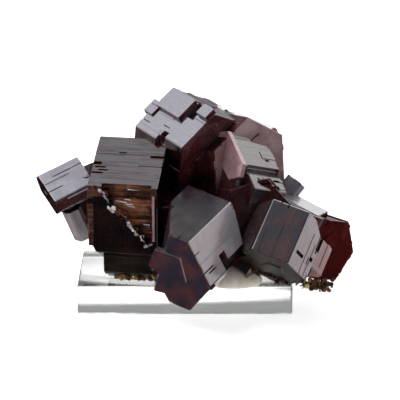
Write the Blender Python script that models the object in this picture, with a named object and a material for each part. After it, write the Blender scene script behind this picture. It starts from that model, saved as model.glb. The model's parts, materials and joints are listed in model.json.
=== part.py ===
"""Vanadinite: short hexagonal crystals grown together, stuck with putty on a small clear block.

Lengths in the tables are millimetres and angles are degrees. The object stands on Z = 0, with the
middle of the block's underside at the origin, and is seen from the front along +Y. Heights in the
tables are measured from the block's top face.
"""

import math
import random
from collections import namedtuple

import bmesh
import bpy
from mathutils import Matrix, Vector

MM = 0.001

# The display block, a one inch piece of clear acrylic
BLOCK_LENGTH = 25.0
BLOCK_DEPTH = 12.5
BLOCK_HEIGHT = 3.5
BLOCK_CHAMFER = 0.25

# Neighbouring pieces keep this gap
GAP = 0.3

HEXAGON_APOTHEM = math.cos(math.radians(30))

CRYSTAL_RED = (0.16, 0.035, 0.03, 1.0)
CRUST_BROWN = (0.30, 0.19, 0.09, 1.0)
PUTTY_CREAM = (0.80, 0.77, 0.68, 1.0)
BLOCK_CLEAR = (0.92, 0.94, 0.95, 1.0)

# A crystal is a six-sided prism. Its long axis has a heading, turned from +X towards +Y, and a
# tilt above level. Roll turns face 0 about that axis, away from straight up. reach holds the
# distance of each side face from the axis.
Crystal = namedtuple("Crystal", "centre heading tilt roll reach length")

# A step is a box laid on a side face, or let into it where rise is negative. along runs with the
# crystal's axis and across runs over the face, both from the middle of the face.
Step = namedtuple("Step", "crystal face along across long wide rise")

# A terrace is a thin plate on an end face, with its outline in the crystal's own two cross axes.
Terrace = namedtuple("Terrace", "crystal end outline rise")

# A chip breaks a corner off one crystal: all that lies beyond point, towards direction, is gone.
Chip = namedtuple("Chip", "point direction")


def even(side):
    """The six face distances of a regular prism."""
    return [side * HEXAGON_APOTHEM] * 6


CRYSTALS = {
    # The large crystal at the front left, its axis nearly level
    "main": Crystal((-5.9, 0.0, 8.2), -10, 0, 30, even(7.9), 8.1),
    "main_ledge": Crystal((-6.2, -3.2, 2.9), -10, 0, 30, [2.6, 3.0, 2.6, 2.4, 3.0, 2.6], 5.4),
    # The stack behind it that makes the top of the specimen
    "upper": Crystal((0.3, 3.3, 12.5), -45, -14, 37, [6.93, 4.94, 5.0, 6.93, 6.93, 6.93], 7.4),
    "upper_left": Crystal((-0.99, 4.59, 12.95), -45, -14, 37, [6.9, 5.5, 6.9, 6.9, 6.9, 6.9], 3.6),
    "upper_back": Crystal((1.2, 7.2, 15.2), -40, -8, 4, even(3.6), 6.6),
    "crest_back": Crystal((6.8, 6.6, 12.8), -42, -7, 4, even(3.9), 6.8),
    # The stepped crystal at the upper right and the larger one that it grows on
    "stepped": Crystal((5.6, 1.3, 11.6), 43, -18, 42, even(4.6), 6.4),
    "stepped_low": Crystal((7.5, -0.9, 8.8), 43, -18, 42, [3.4, 2.6, 2.4, 2.4, 2.4, 2.6], 5.6),
    "broad": Crystal((5.1, 4.0, 11.7), -50, 5, 30, even(6.2), 8.0),
    # The two crystals that lean towards the front
    "front": Crystal((0.5, -7.5, 5.2), 55, 17, 11, even(5.8), 8.7),
    "right": Crystal((11.0, -7.1, 5.7), 56, 46, 23, even(4.35), 6.6),
    "right_bud": Crystal((14.5, -7.0, 4.3), 56, 46, 83, [1.15, 2.2, 2.2, 1.4, 2.2, 2.2], 3.6),
    # The red crystal at the far right, end on, and the slab above it
    "far_right": Crystal((14.9, -0.6, 3.3), -48, 0, -17, even(4.1), 6.5),
    "slab": Crystal((13.4, 0.9, 7.1), -30, -18, -4, [0.9, 1.7, 1.7, 0.9, 1.7, 1.7], 6.2),
    "slab_bud": Crystal((12.0, 3.0, 8.2), 20, 48, 10, even(1.3), 4.2),
    # The small crystals at the far left
    "left": Crystal((-13.8, 0.2, 10.1), 24, 20, 34, [1.6, 2.6, 2.35, 1.6, 2.6, 2.6], 5.2),
    "left_low": Crystal((-12.6, -0.3, 5.9), 35, -66, 172, even(1.3), 4.2),
    "left_back": Crystal((-10.6, 2.4, 10.2), -64, 24, 10, even(2.3), 5.4),
    "left_heart": Crystal((-10.6, 1.6, 7.6), 12, 30, 20, even(2.4), 5.0),
    # The heart of the specimen, which shows only between the others
    "heart": Crystal((6.4, -0.6, 6.6), -62, 12, 8, even(5.0), 8.6),
    "heart_left": Crystal((-0.6, 0.6, 6.4), 24, 8, 20, even(4.6), 9.0),
    "foot": Crystal((6.9, -5.4, 2.9), -38, -24, 12, even(1.7), 3.4),
    # The back of the specimen
    "rear": Crystal((-2.6, 6.4, 5.9), 62, -12, 24, even(4.4), 6.8),
    "rear_right": Crystal((7.4, 5.6, 6.2), 118, 14, 12, even(4.0), 7.6),
    "rear_bud": Crystal((1.6, 8.4, 9.2), 84, 38, 5, even(2.4), 5.0),
}

STEPS = [
    # Slots and etch pits along the top of the main crystal
    Step("main", 0, 3.35, -1.0, 1.8, 0.42, -0.8),
    Step("main", 0, -0.85, -1.45, 0.9, 0.2, -0.35),
    Step("main", 0, -3.5, 0.3, 0.9, 0.5, -0.3),
    Step("main", 0, -3.1, 0.9, 1.3, 0.24, -0.4),
    Step("main", 0, -2.7, 1.35, 1.1, 0.24, -0.4),
    Step("main", 0, -3.3, 1.8, 1.3, 0.3, -0.35),
    # The ledge that the main crystal's lowest face ends on
    Step("main", 2, 0.6, 1.6, 5.6, 1.4, 0.35),
    # The upper stack: a raised block, a low shelf, a spur, a recess and a notch
    Step("upper", 0, -1.2, -2.5, 3.8, 3.0, 0.6),
    Step("upper", 0, -3.5, -0.7, 1.4, 1.9, 0.28),
    Step("upper", 0, 2.7, -3.5, 1.6, 1.5, 0.55),
    Step("upper", 0, 1.4, -3.1, 1.2, 2.4, -0.8),
    Step("upper", 0, 0.5, 1.6, 0.8, 1.3, -1.0),
    # Steps down the stepped crystal
    Step("stepped", 0, 1.6, 1.1, 0.7, 0.3, -0.5),
    Step("stepped", 0, 0.4, 3.0, 5.4, 1.7, -0.3),
    Step("stepped_low", 0, 0.9, 0.6, 1.7, 0.6, -0.6),
    Step("stepped_low", 0, -0.8, 0.3, 1.2, 0.26, -0.5),
    Step("stepped_low", 0, 1.6, -0.4, 1.0, 0.24, -0.5),
    Step("broad", 5, -1.5, 0.6, 2.6, 0.5, -0.5),
    Step("broad", 5, 2.2, -0.8, 1.6, 0.4, -0.5),
    # The broken lower corner of the front crystal
    Step("front", 1, 2.2, 2.6, 5.4, 1.3, -1.0),
    Step("front", 1, -0.6, 1.9, 1.1, 2.2, -1.3),
    Step("front", 1, -3.5, 1.2, 1.9, 0.16, -0.3),
    Step("front", 1, -3.0, 1.6, 1.3, 0.16, -0.3),
    Step("front", 2, -1.6, -1.6, 3.2, 1.2, 0.3),
    Step("front", 0, -0.2, -2.5, 0.9, 1.0, -0.9),
    # Pits and a parallel growth on the right crystal
    Step("right", 1, -1.4, -0.8, 0.42, 1.5, -0.5),
    Step("right", 1, 1.0, 1.7, 2.0, 0.26, -0.5),
    Step("right", 1, -1.3, 0.9, 1.0, 0.24, -0.5),
    Step("right", 1, -0.9, 1.45, 0.5, 0.5, -0.4),
    Step("right", 1, 1.9, 1.9, 3.0, 1.0, -0.35),
    Step("right", 2, -0.4, -0.8, 4.2, 1.6, 0.4),
    # Low tiers on the small crystals
    Step("left", 0, -1.8, 0.6, 2.0, 0.14, -0.3),
    Step("left", 1, 0.6, 0.4, 3.4, 0.9, 0.3),
    Step("far_right", 1, 0.6, 0.2, 3.8, 2.6, 0.25),
    Step("heart", 5, 1.0, 0.4, 5.0, 3.0, 0.5),
    Step("rear", 0, 0.6, 0.4, 4.6, 2.6, 0.4),
    Step("rear", 1, -0.4, -0.6, 3.6, 1.8, 0.5),
    Step("rear_right", 0, 0.8, 0.2, 5.0, 2.4, 0.4),
    Step("rear_right", 5, 0.4, 0.6, 3.6, 1.6, 0.5),
]

TERRACES = [
    # The grey plate on the near end of the stepped crystal
    Terrace(
        "stepped",
        -1,
        [(2.5, -3.4), (4.1, -2.4), (4.1, 2.3), (3.0, 3.3), (1.4, 2.6), (1.3, 0.4), (0.9, -0.6), (1.4, -1.8)],
        0.3,
    ),
    Terrace("front", -1, [(-0.6, -2.6), (2.2, -1.6), (2.4, 1.8), (-0.8, 2.6), (-2.0, 0.4)], 0.15),
    Terrace("far_right", 1, [(-2.4, -1.6), (0.6, -2.4), (2.2, 0.4), (0.8, 2.4), (-2.2, 1.4)], 0.12),
    Terrace("upper", 1, [(-4.0, -4.6), (3.2, -4.4), (3.6, 0.8), (-1.2, 3.2), (-4.4, 0.6)], 0.25),
    Terrace("broad", 1, [(-3.6, -3.4), (2.6, -3.4), (3.0, 0.4), (-2.4, 2.4)], 0.2),
    Terrace("rear", 1, [(-2.2, -2.0), (1.8, -2.6), (2.6, 0.8), (-0.6, 2.8)], 0.35),
    Terrace("rear_right", 1, [(-2.4, -1.2), (1.4, -2.2), (2.4, 1.4), (-1.0, 2.2)], 0.35),
]

CHIPS = {
    "main": [Chip((0.0, 7.9, -3.2), (-0.39, 0.225, -0.89))],
    "front": [
        Chip((4.9, -2.6, 0.3), (0.25, -1.0, -0.62)),
        Chip((4.6, 3.6, 4.0), (0.2, 0.9, 0.9)),
    ],
    "right": [Chip((1.5, 3.6, 2.6), (0.1, 0.9, 0.6))],
    "far_right": [Chip((2.4, 3.0, 2.7), (0.5, 0.7, 0.9))],
    "stepped": [Chip((3.9, -1.2, 2.9), (0.3, -0.75, 0.75))],
}

# The broken face of the main crystal: a flight of shallow cuts whose left ends step down to the right
BREAK_STEPS = 8
BREAK_TOP = -4.2
BREAK_PITCH = 0.84
BREAK_LEFT = -2.4
BREAK_RIGHT = 3.35
BREAK_SLOPE = 0.70
BREAK_DEPTH = 0.95
BREAK_OVERLAP = 0.04

# Ragged little blocks along the lower rim of the right crystal's near end
FRINGE_SEED = 7
FRINGE_COUNT = 9
FRINGE_RIM = -3.2
FRINGE_SPAN = 4.4

# The space kept round the crust's lumps, which also covers their roughness
CRUST_ROOM = 1.4 * GAP

# How deep a step or terrace is sunk into its face, and how proud of it a cutter stands
BITE = 0.5

# The two patches of crust: the row of lumps from one end to the other, their size and number
Crust = namedtuple("Crust", "name start end size count seed")
CRUSTS = [
    Crust("matrix_crust_left", (-7.4, -4.7, 0.9), (-3.9, -5.1, 0.8), 0.85, 8, 3),
    Crust("matrix_crust_right", (13.6, -3.9, -0.5), (17.0, -4.4, -0.5), 0.6, 8, 5),
]

# The seat is the flat broken underside that the crystals have over the putty: low and high corner
SEAT = ((-3.6, -7.5, -1.5), (9.0, 5.0, 1.0))
PAD_SHARE = 0.97
LOBE_SWELL = 0.05
LOBE_DENT = 0.04

# Putty lobes: middle and the three radii
PUTTY_LOBES = [
    ((3.2, -0.4, 1.0), (7.4, 5.4, 1.9)),
    ((-1.0, -5.3, 0.1), (2.4, 2.0, 1.9)),
    ((5.6, -5.2, 0.4), (3.4, 2.2, 2.0)),
]


def clear_scene():
    for obj in list(bpy.data.objects):
        bpy.data.objects.remove(obj, do_unlink=True)


def material(name, colour, roughness, metallic=0.0):
    made = bpy.data.materials.new(name)
    made.use_nodes = True
    shader = made.node_tree.nodes["Principled BSDF"]
    shader.inputs["Base Color"].default_value = colour
    shader.inputs["Roughness"].default_value = roughness
    shader.inputs["Metallic"].default_value = metallic
    return made


def object_from(name, mesh_data, collection, paint=None):
    bmesh.ops.recalc_face_normals(mesh_data, faces=mesh_data.faces)
    mesh = bpy.data.meshes.new(name)
    mesh_data.to_mesh(mesh)
    mesh_data.free()
    obj = bpy.data.objects.new(name, mesh)
    collection.objects.link(obj)
    if paint is not None:
        mesh.materials.append(paint)
    return obj


def helper_collection(name):
    made = bpy.data.collections.new(name)
    bpy.context.scene.collection.children.link(made)
    return made


def hide_helpers(collection):
    for obj in collection.objects:
        obj.hide_render = True
        obj.display_type = "WIRE"


def axes_of(crystal):
    """The directions of face 0, of the axis across it, and of the crystal's long axis."""
    heading = math.radians(crystal.heading)
    tilt = math.radians(crystal.tilt)
    roll = math.radians(crystal.roll)
    long_axis = Vector(
        (math.cos(tilt) * math.cos(heading), math.cos(tilt) * math.sin(heading), math.sin(tilt))
    )
    upward = Vector(
        (-math.sin(tilt) * math.cos(heading), -math.sin(tilt) * math.sin(heading), math.cos(tilt))
    )
    sideways = long_axis.cross(upward)
    face = math.cos(roll) * upward + math.sin(roll) * sideways
    return face, long_axis.cross(face), long_axis


def world(place):
    """A place in the tables as a place in the world, in metres."""
    return (Vector(place) + Vector((0, 0, BLOCK_HEIGHT))) * MM


def placement(crystal):
    """The matrix that carries a shape from the crystal's own axes, in millimetres, to the world."""
    turned = Matrix(axes_of(crystal)).transposed().to_4x4()
    return Matrix.Translation(world(crystal.centre)) @ turned @ Matrix.Scale(MM, 4)


def face_direction(face):
    angle = math.radians(60 * face)
    return Vector((math.cos(angle), math.sin(angle), 0.0))


def corner(reach, face):
    """Where side face and the next one meet, seen along the axis."""
    ahead = face_direction(face)
    across = Vector((-ahead.y, ahead.x, 0.0))
    here = reach[face]
    after = reach[(face + 1) % 6]
    return ahead * here + across * (after - here * 0.5) / HEXAGON_APOTHEM


def prism(outline, low, high, place):
    """A closed prism between two heights, over an outline in the crystal's cross axes."""
    shape = bmesh.new()
    foot = [shape.verts.new(place @ Vector((x, y, low))) for x, y in outline]
    head = [shape.verts.new(place @ Vector((x, y, high))) for x, y in outline]
    shape.faces.new(list(reversed(foot)))
    shape.faces.new(head)
    for index in range(len(outline)):
        after = (index + 1) % len(outline)
        shape.faces.new([foot[index], foot[after], head[after], head[index]])
    return shape


def break_off(shape, chip, place, grow):
    """Cuts a closed shape with a plane and closes it again."""
    direction = Vector(chip.direction).normalized()
    geometry = shape.verts[:] + shape.edges[:] + shape.faces[:]
    cut = bmesh.ops.bisect_plane(
        shape,
        geom=geometry,
        plane_co=place @ (Vector(chip.point) + direction * grow),
        plane_no=place.to_3x3() @ direction,
        clear_outer=True,
    )
    rim = [item for item in cut["geom_cut"] if isinstance(item, bmesh.types.BMEdge)]
    bmesh.ops.contextual_create(shape, geom=rim)


def crystal_shape(name, grow=0.0):
    crystal = CRYSTALS[name]
    reach = [distance + grow for distance in crystal.reach]
    outline = [corner(reach, face)[:2] for face in range(6)]
    half = crystal.length / 2 + grow
    place = placement(crystal)
    shape = prism(outline, -half, half, place)
    for chip in CHIPS.get(name, []):
        break_off(shape, chip, place, grow)
    return shape


def box_shape(middle, across, size, place):
    """A box with its first side along the direction across, its third along the crystal's axis."""
    second = Vector((-across.y, across.x, 0.0))
    turned = Matrix((across, second, Vector((0, 0, 1)))).transposed().to_4x4()
    shape = bmesh.new()
    bmesh.ops.create_cube(shape, size=1.0)
    scaled = Matrix.Diagonal((*size, 1.0))
    bmesh.ops.transform(shape, matrix=place @ Matrix.Translation(middle) @ turned @ scaled, verts=shape.verts)
    return shape


def step_shape(step, grow=0.0):
    """A raised step is sunk half a millimetre into its face, and a cut one stands proud of it."""
    crystal = CRYSTALS[step.crystal]
    ahead = face_direction(step.face)
    across = Vector((-ahead.y, ahead.x, 0.0))
    low, high = (-BITE, step.rise) if step.rise > 0 else (step.rise, BITE)
    middle = crystal.reach[step.face] + (low + high) / 2
    place = ahead * middle + across * step.across + Vector((0, 0, step.along))
    size = (high - low + 2 * grow, step.wide + 2 * grow, step.long + 2 * grow)
    return box_shape(place, ahead, size, placement(crystal))


def terrace_shape(terrace, grow=0.0):
    crystal = CRYSTALS[terrace.crystal]
    end = terrace.end * crystal.length / 2
    inner = end - terrace.end * (BITE + grow)
    outer = end + terrace.end * (terrace.rise + grow)
    middle = sum((Vector(point) for point in terrace.outline), Vector((0, 0))) / len(terrace.outline)
    outline = []
    for point in terrace.outline:
        away = Vector(point) - middle
        outline.append(middle + away * (1 + grow / away.length))
    return prism(outline, min(inner, outer), max(inner, outer), placement(crystal))


def break_steps():
    """The cuts of the broken face, each a little shorter and of another depth than the last."""
    cuts = []
    for index in range(BREAK_STEPS):
        left = BREAK_LEFT + BREAK_SLOPE * index
        depth = BREAK_DEPTH + 0.28 * math.sin(2.1 * index)
        across = BREAK_TOP + BREAK_PITCH * (index + 0.5)
        right = BREAK_RIGHT + 0.16 * math.sin(3.4 * index)
        cuts.append(
            Step("main", 1, (left + right) / 2, across, right - left, BREAK_PITCH + BREAK_OVERLAP, -depth)
        )
    return cuts


def fringe():
    """Small plates in a row on the near end of the right crystal, each standing out by its own amount."""
    chance = random.Random(FRINGE_SEED)
    plates = []
    pitch = FRINGE_SPAN / FRINGE_COUNT
    for index in range(FRINGE_COUNT):
        left = -FRINGE_SPAN / 2 + pitch * index
        right = left + pitch * chance.uniform(1.1, 1.3)
        rim = FRINGE_RIM + chance.uniform(-0.15, 0.15)
        inner = rim + chance.uniform(0.5, 1.1)
        outline = [(rim, left), (inner, left), (inner, right), (rim, right)]
        plates.append(Terrace("right", -1, outline, chance.uniform(0.15, 0.7)))
    return plates


def lump(place, size, seed, subdivisions=1, rough=0.2):
    """A small angular stone."""
    chance = random.Random(seed)
    shape = bmesh.new()
    bmesh.ops.create_icosphere(shape, subdivisions=subdivisions, radius=1.0)
    for vertex in shape.verts:
        vertex.co *= 1 + chance.uniform(-rough, rough)
        vertex.co = world(Vector(place) + vertex.co * size)
    return shape


def modify(obj, name, operation, collection):
    change = obj.modifiers.new(name, "BOOLEAN")
    change.operation = operation
    change.solver = "EXACT"
    change.operand_type = "COLLECTION"
    change.collection = collection


def block_shape(grow=0.0):
    shape = bmesh.new()
    bmesh.ops.create_cube(shape, size=1.0)
    size = Vector((BLOCK_LENGTH, BLOCK_DEPTH, BLOCK_HEIGHT)) + Vector((grow, grow, grow)) * 2
    size *= MM
    place = Matrix.Translation((0, 0, BLOCK_HEIGHT * MM / 2))
    bmesh.ops.transform(shape, matrix=place @ Matrix.Diagonal((*size, 1.0)), verts=shape.verts)
    return shape


def add_block():
    obj = object_from(
        "clear_block", block_shape(), bpy.context.scene.collection, material("acrylic", BLOCK_CLEAR, 0.05)
    )
    edge = obj.modifiers.new("Chamfer", "BEVEL")
    edge.width = BLOCK_CHAMFER * MM
    edge.segments = 1


def add_crystals(block_room):
    """All the crystals as one solid: joined, stepped, chipped, and clear of the block."""
    grown = helper_collection("Crystals to join")
    cutters = helper_collection("Cuts in the crystals")
    steps = STEPS + break_steps()
    terraces = TERRACES + fringe()
    body = object_from(
        "vanadinite_crystals",
        crystal_shape("main"),
        bpy.context.scene.collection,
        material("vanadinite", CRYSTAL_RED, 0.16),
    )
    for name in CRYSTALS:
        if name != "main":
            object_from("join_" + name, crystal_shape(name), grown)
    for index, step in enumerate(steps):
        target = grown if step.rise > 0 else cutters
        object_from(f"step_{index}", step_shape(step), target)
    for index, terrace in enumerate(terraces):
        object_from(f"terrace_{index}", terrace_shape(terrace), grown)
    modify(body, "Join", "UNION", grown)
    object_from("seat", seat_shape(), cutters)
    modify(body, "Cut", "DIFFERENCE", cutters)
    modify(body, "Clear of the block", "DIFFERENCE", block_room)
    hide_helpers(grown)
    hide_helpers(cutters)


def room_round_crystals():
    """The crystals again, a gap larger all round, to hollow the putty and the crust for them."""
    room = helper_collection("Room for the crystals")
    for name in CRYSTALS:
        object_from("room_" + name, crystal_shape(name, GAP), room)
    for index, step in enumerate(STEPS):
        if step.rise > 0:
            object_from(f"room_step_{index}", step_shape(step, GAP), room)
    for index, terrace in enumerate(TERRACES + fringe()):
        object_from(f"room_terrace_{index}", terrace_shape(terrace, GAP), room)
    hide_helpers(room)
    return room


def seat_shape(shrink=0.0):
    low, high = (Vector(corner) for corner in SEAT)
    low, high = world(low + Vector((shrink,) * 3)), world(high - Vector((shrink,) * 3))
    shape = bmesh.new()
    bmesh.ops.create_cube(shape, size=1.0)
    place = Matrix.Translation((low + high) / 2) @ Matrix.Diagonal((*(high - low), 1.0))
    bmesh.ops.transform(shape, matrix=place, verts=shape.verts)
    return shape


def putty_lobe(place, radii, share=1.0):
    shape = bmesh.new()
    bmesh.ops.create_icosphere(shape, subdivisions=3, radius=1.0)
    for vertex in shape.verts:
        x, y, z = vertex.co
        swell = 1 + LOBE_SWELL * math.sin(5 * x + 3 * y) + LOBE_DENT * math.sin(6 * y - 4 * z)
        reach = [c * radius * swell * share for c, radius in zip((x, y, z), radii)]
        vertex.co = world(Vector(place) + Vector(reach))
    return shape


def lobed(name, share, collection, paint=None):
    """The lobes as one body, each at a share of its size."""
    lobes = helper_collection("Lobes of " + name)
    first, *others = PUTTY_LOBES
    body = object_from(name, putty_lobe(*first, share), collection, paint)
    for index, (place, radii) in enumerate(others):
        object_from(f"lobe_{name}_{index}", putty_lobe(place, radii, share), lobes)
    modify(body, "Join", "UNION", lobes)
    hide_helpers(lobes)
    return body


def add_putty(block_room, crystal_room, crust_room):
    """Lobes hollowed for the crystals and the crust, joined by the pad that fills the seat."""
    body = lobed("mounting_putty", 1.0, bpy.context.scene.collection, material("putty", PUTTY_CREAM, 0.6))
    pads = helper_collection("Pad in the seat")
    seats = helper_collection("Inside of the seat")
    object_from("seat_inside", seat_shape(GAP), seats)
    pad = lobed("pad", PAD_SHARE, pads)
    modify(pad, "Within the seat", "INTERSECT", seats)
    modify(body, "Clear of the crystals", "DIFFERENCE", crystal_room)
    modify(body, "Pad", "UNION", pads)
    modify(body, "Clear of the crust", "DIFFERENCE", crust_room)
    modify(body, "Clear of the block", "DIFFERENCE", block_room)
    hide_helpers(seats)
    hide_helpers(pads)


def crust_lumps(crust, grow=0.0):
    """A row of overlapping lumps, each a little off the line and of its own size."""
    chance = random.Random(crust.seed)
    shapes = []
    for index in range(crust.count):
        middle = Vector(crust.start).lerp(Vector(crust.end), index / (crust.count - 1))
        middle += Vector([chance.uniform(-0.2, 0.2) for _ in range(3)])
        size = crust.size * chance.uniform(0.85, 1.2)
        shapes.append(lump(middle, size + grow, crust.seed + index))
    return shapes


def add_crusts(block_room, crystal_room):
    paint = material("matrix", CRUST_BROWN, 0.8)
    for crust in CRUSTS:
        others = helper_collection("Lumps of " + crust.name)
        first, *rest = crust_lumps(crust)
        body = object_from(crust.name, first, bpy.context.scene.collection, paint)
        for index, shape in enumerate(rest):
            object_from(f"lump_{crust.name}_{index}", shape, others)
        modify(body, "Join", "UNION", others)
        modify(body, "Clear of the block", "DIFFERENCE", block_room)
        modify(body, "Clear of the crystals", "DIFFERENCE", crystal_room)
        hide_helpers(others)


def room_round_crusts():
    """The crust's lumps again, a gap and their roughness larger, to hollow the putty for them."""
    room = helper_collection("Room for the crust")
    for crust in CRUSTS:
        for index, shape in enumerate(crust_lumps(crust, CRUST_ROOM)):
            object_from(f"room_{crust.name}_{index}", shape, room)
    hide_helpers(room)
    return room


def main():
    clear_scene()
    block_room = helper_collection("Room for the block")
    object_from("room_block", block_shape(GAP), block_room)
    hide_helpers(block_room)
    add_block()
    add_crystals(block_room)
    crystal_room = room_round_crystals()
    add_crusts(block_room, crystal_room)
    add_putty(block_room, crystal_room, room_round_crusts())


main()
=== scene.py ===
# %% [markdown]
# # A vanadinite specimen on its clear block
#
# The object is a cluster of dark red crystals, each a short six-sided prism, stuck with putty on a
# small acrylic block. The solids of the part file are loaded first and stay where they are. Every
# finished piece below is made at its own place around them, so nothing has to be fitted afterwards.

import itertools
import json
import math
import random
from collections import namedtuple

import bpy
from mathutils import Matrix, Vector

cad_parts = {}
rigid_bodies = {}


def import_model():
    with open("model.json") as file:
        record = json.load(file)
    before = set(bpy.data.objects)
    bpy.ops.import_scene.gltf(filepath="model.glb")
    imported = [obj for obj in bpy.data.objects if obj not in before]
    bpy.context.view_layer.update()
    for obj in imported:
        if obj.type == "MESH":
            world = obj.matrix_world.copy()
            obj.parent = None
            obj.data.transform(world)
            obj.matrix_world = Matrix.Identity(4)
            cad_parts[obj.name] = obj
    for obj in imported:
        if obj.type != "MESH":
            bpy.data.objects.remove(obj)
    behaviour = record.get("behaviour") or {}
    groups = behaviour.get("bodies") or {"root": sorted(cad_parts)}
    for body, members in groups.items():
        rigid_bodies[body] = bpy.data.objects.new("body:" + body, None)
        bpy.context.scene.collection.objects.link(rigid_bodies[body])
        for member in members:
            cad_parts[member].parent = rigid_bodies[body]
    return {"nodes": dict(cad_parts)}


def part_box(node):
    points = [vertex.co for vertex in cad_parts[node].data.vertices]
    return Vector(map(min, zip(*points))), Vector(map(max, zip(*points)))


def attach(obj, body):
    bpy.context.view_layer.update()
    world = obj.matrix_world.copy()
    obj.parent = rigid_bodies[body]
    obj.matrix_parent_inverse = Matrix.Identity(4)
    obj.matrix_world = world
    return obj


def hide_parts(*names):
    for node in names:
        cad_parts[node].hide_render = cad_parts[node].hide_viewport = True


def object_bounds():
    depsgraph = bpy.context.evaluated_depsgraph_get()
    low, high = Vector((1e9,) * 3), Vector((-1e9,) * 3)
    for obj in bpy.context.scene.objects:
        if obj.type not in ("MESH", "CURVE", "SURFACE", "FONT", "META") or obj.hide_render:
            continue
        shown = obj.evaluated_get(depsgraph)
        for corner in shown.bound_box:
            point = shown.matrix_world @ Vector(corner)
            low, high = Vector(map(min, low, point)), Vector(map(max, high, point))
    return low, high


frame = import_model()
cad_low, cad_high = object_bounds()
MM = 0.001
print("nodes:", sorted(frame["nodes"]))

# %% [markdown]
# ## Camera
#
# The specimen was photographed from a little above, with a long lens. A long lens far away keeps the
# crystal edges nearly parallel. The camera comes first, because every piece is seen through it.

# %% Camera
CAMERA_RISE = 18
CAMERA_DISTANCE = 209 * MM
CAMERA_TARGET = Vector((1.76, 0.0, 11.99)) * MM
LENS = 160
FILM_WIDTH = 36

rise = math.radians(CAMERA_RISE)
toward_camera = Vector((0, -math.cos(rise), math.sin(rise)))
bpy.ops.object.camera_add(location=CAMERA_TARGET + toward_camera * CAMERA_DISTANCE)
camera = bpy.context.active_object
camera.rotation_euler = (-toward_camera).to_track_quat("-Z", "Y").to_euler()
camera.data.lens = LENS
camera.data.sensor_width = FILM_WIDTH
camera.data.clip_start = 10 * MM
bpy.context.scene.camera = camera
bpy.context.scene.view_settings.view_transform = "Standard"
print("camera at", [round(value / MM) for value in camera.location], "mm")

# %% [markdown]
# ## Shader maths as plain sums
#
# A material is a net of small sums. Written node by node it is hard to read, so one class wraps a
# socket and lets Python's own operators add the Math nodes. Every other node comes from one method
# that takes the node's type, its settings, and what goes into its sockets.


# %% A socket that can be added and multiplied
class Socket:
    """The output of a node. The operators work either way round, so 2 * mask is as good as mask * 2."""

    def __init__(self, paint, output):
        self.paint = paint
        self.output = output

    def maths(self, operation, first, second):
        return self.paint.add("ShaderNodeMath", {"operation": operation}, {0: first, 1: second})

    def __add__(self, other):
        return self.maths("ADD", self, other)

    def __mul__(self, other):
        return self.maths("MULTIPLY", self, other)

    __radd__ = __add__
    __rmul__ = __mul__


# %% A painter that adds nodes
class Paint:
    """A node tree, for a material or for the world."""

    def __init__(self, owner):
        self.owner = owner
        owner.use_nodes = True
        self.tree = owner.node_tree
        self.tree.nodes.clear()

    def add(self, kind, settings=None, inputs=None, output=0):
        node = self.tree.nodes.new(kind)
        for name, value in (settings or {}).items():
            setattr(node, name, value)
        for name, value in (inputs or {}).items():
            if isinstance(value, Socket):
                self.tree.links.new(value.output, node.inputs[name])
            else:
                node.inputs[name].default_value = value
        return Socket(self, node.outputs[output]) if node.outputs else None

    def noise(self, where, scale, detail=3.0, roughness=0.55):
        inputs = {"Vector": where, "Scale": scale, "Detail": detail, "Roughness": roughness}
        return self.add("ShaderNodeTexNoise", {}, inputs)

    def between(self, value, low, high):
        """0 below low, 1 above high, and a smooth rise from one to the other."""
        settings = {"interpolation_type": "SMOOTHSTEP"}
        inputs = {"Value": value, "From Min": low, "From Max": high}
        return self.add("ShaderNodeMapRange", settings, inputs)

    def blend(self, share, first, second):
        """Mixes two colours."""
        return self.add("ShaderNodeMix", {"data_type": "RGBA"}, {0: share, 6: first, 7: second}, 2)

    def stretch(self, where, scale):
        return self.add("ShaderNodeVectorMath", {"operation": "MULTIPLY"}, {0: where, 1: scale})

    def bump(self, height, depth):
        return self.add("ShaderNodeBump", {}, {"Height": height, "Distance": depth, "Strength": 1.0})

    def finish(self, shader):
        self.add("ShaderNodeOutputMaterial", {}, {"Surface": shader})
        return self.owner


# %% [markdown]
# ## Crystal finishes
#
# Vanadinite has a very high refractive index, near 2.4, so its faces shine almost like metal while
# the stone itself is deep red and lets a little light through at thin edges. Fine lines run along
# each prism. Every side face carries a UV map in millimetres with its first axis along the crystal,
# so noise stretched on that map gives lines that always follow the growth. On the ends the map is
# stretched twelve times one way, so the same noise gives an even grain there.


# %% Vanadinite
VANADINITE_IOR = 2.35
LINE_STRETCH = (0.16, 5.0, 1.0)
FINE_LINE_STRETCH = (0.5, 16.0, 1.0)
BAND_STRETCH = (0.11, 1.4, 1.0)
PATCH_SCALE = 420.0
SPECK_SCALE = 2600.0
RELIEF = 0.03 * MM
RED_SCATTER = (1.0, 0.16, 0.06)
SCATTER_DEPTH = 0.9 * MM
# Pale grey-lavender, partly a frosted film and partly painted sheen: the light that faces reflect from the
# bright studio is put into their base colour.
BLOOM_AND_SHEEN = (0.40, 0.39, 0.45, 1)


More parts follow.
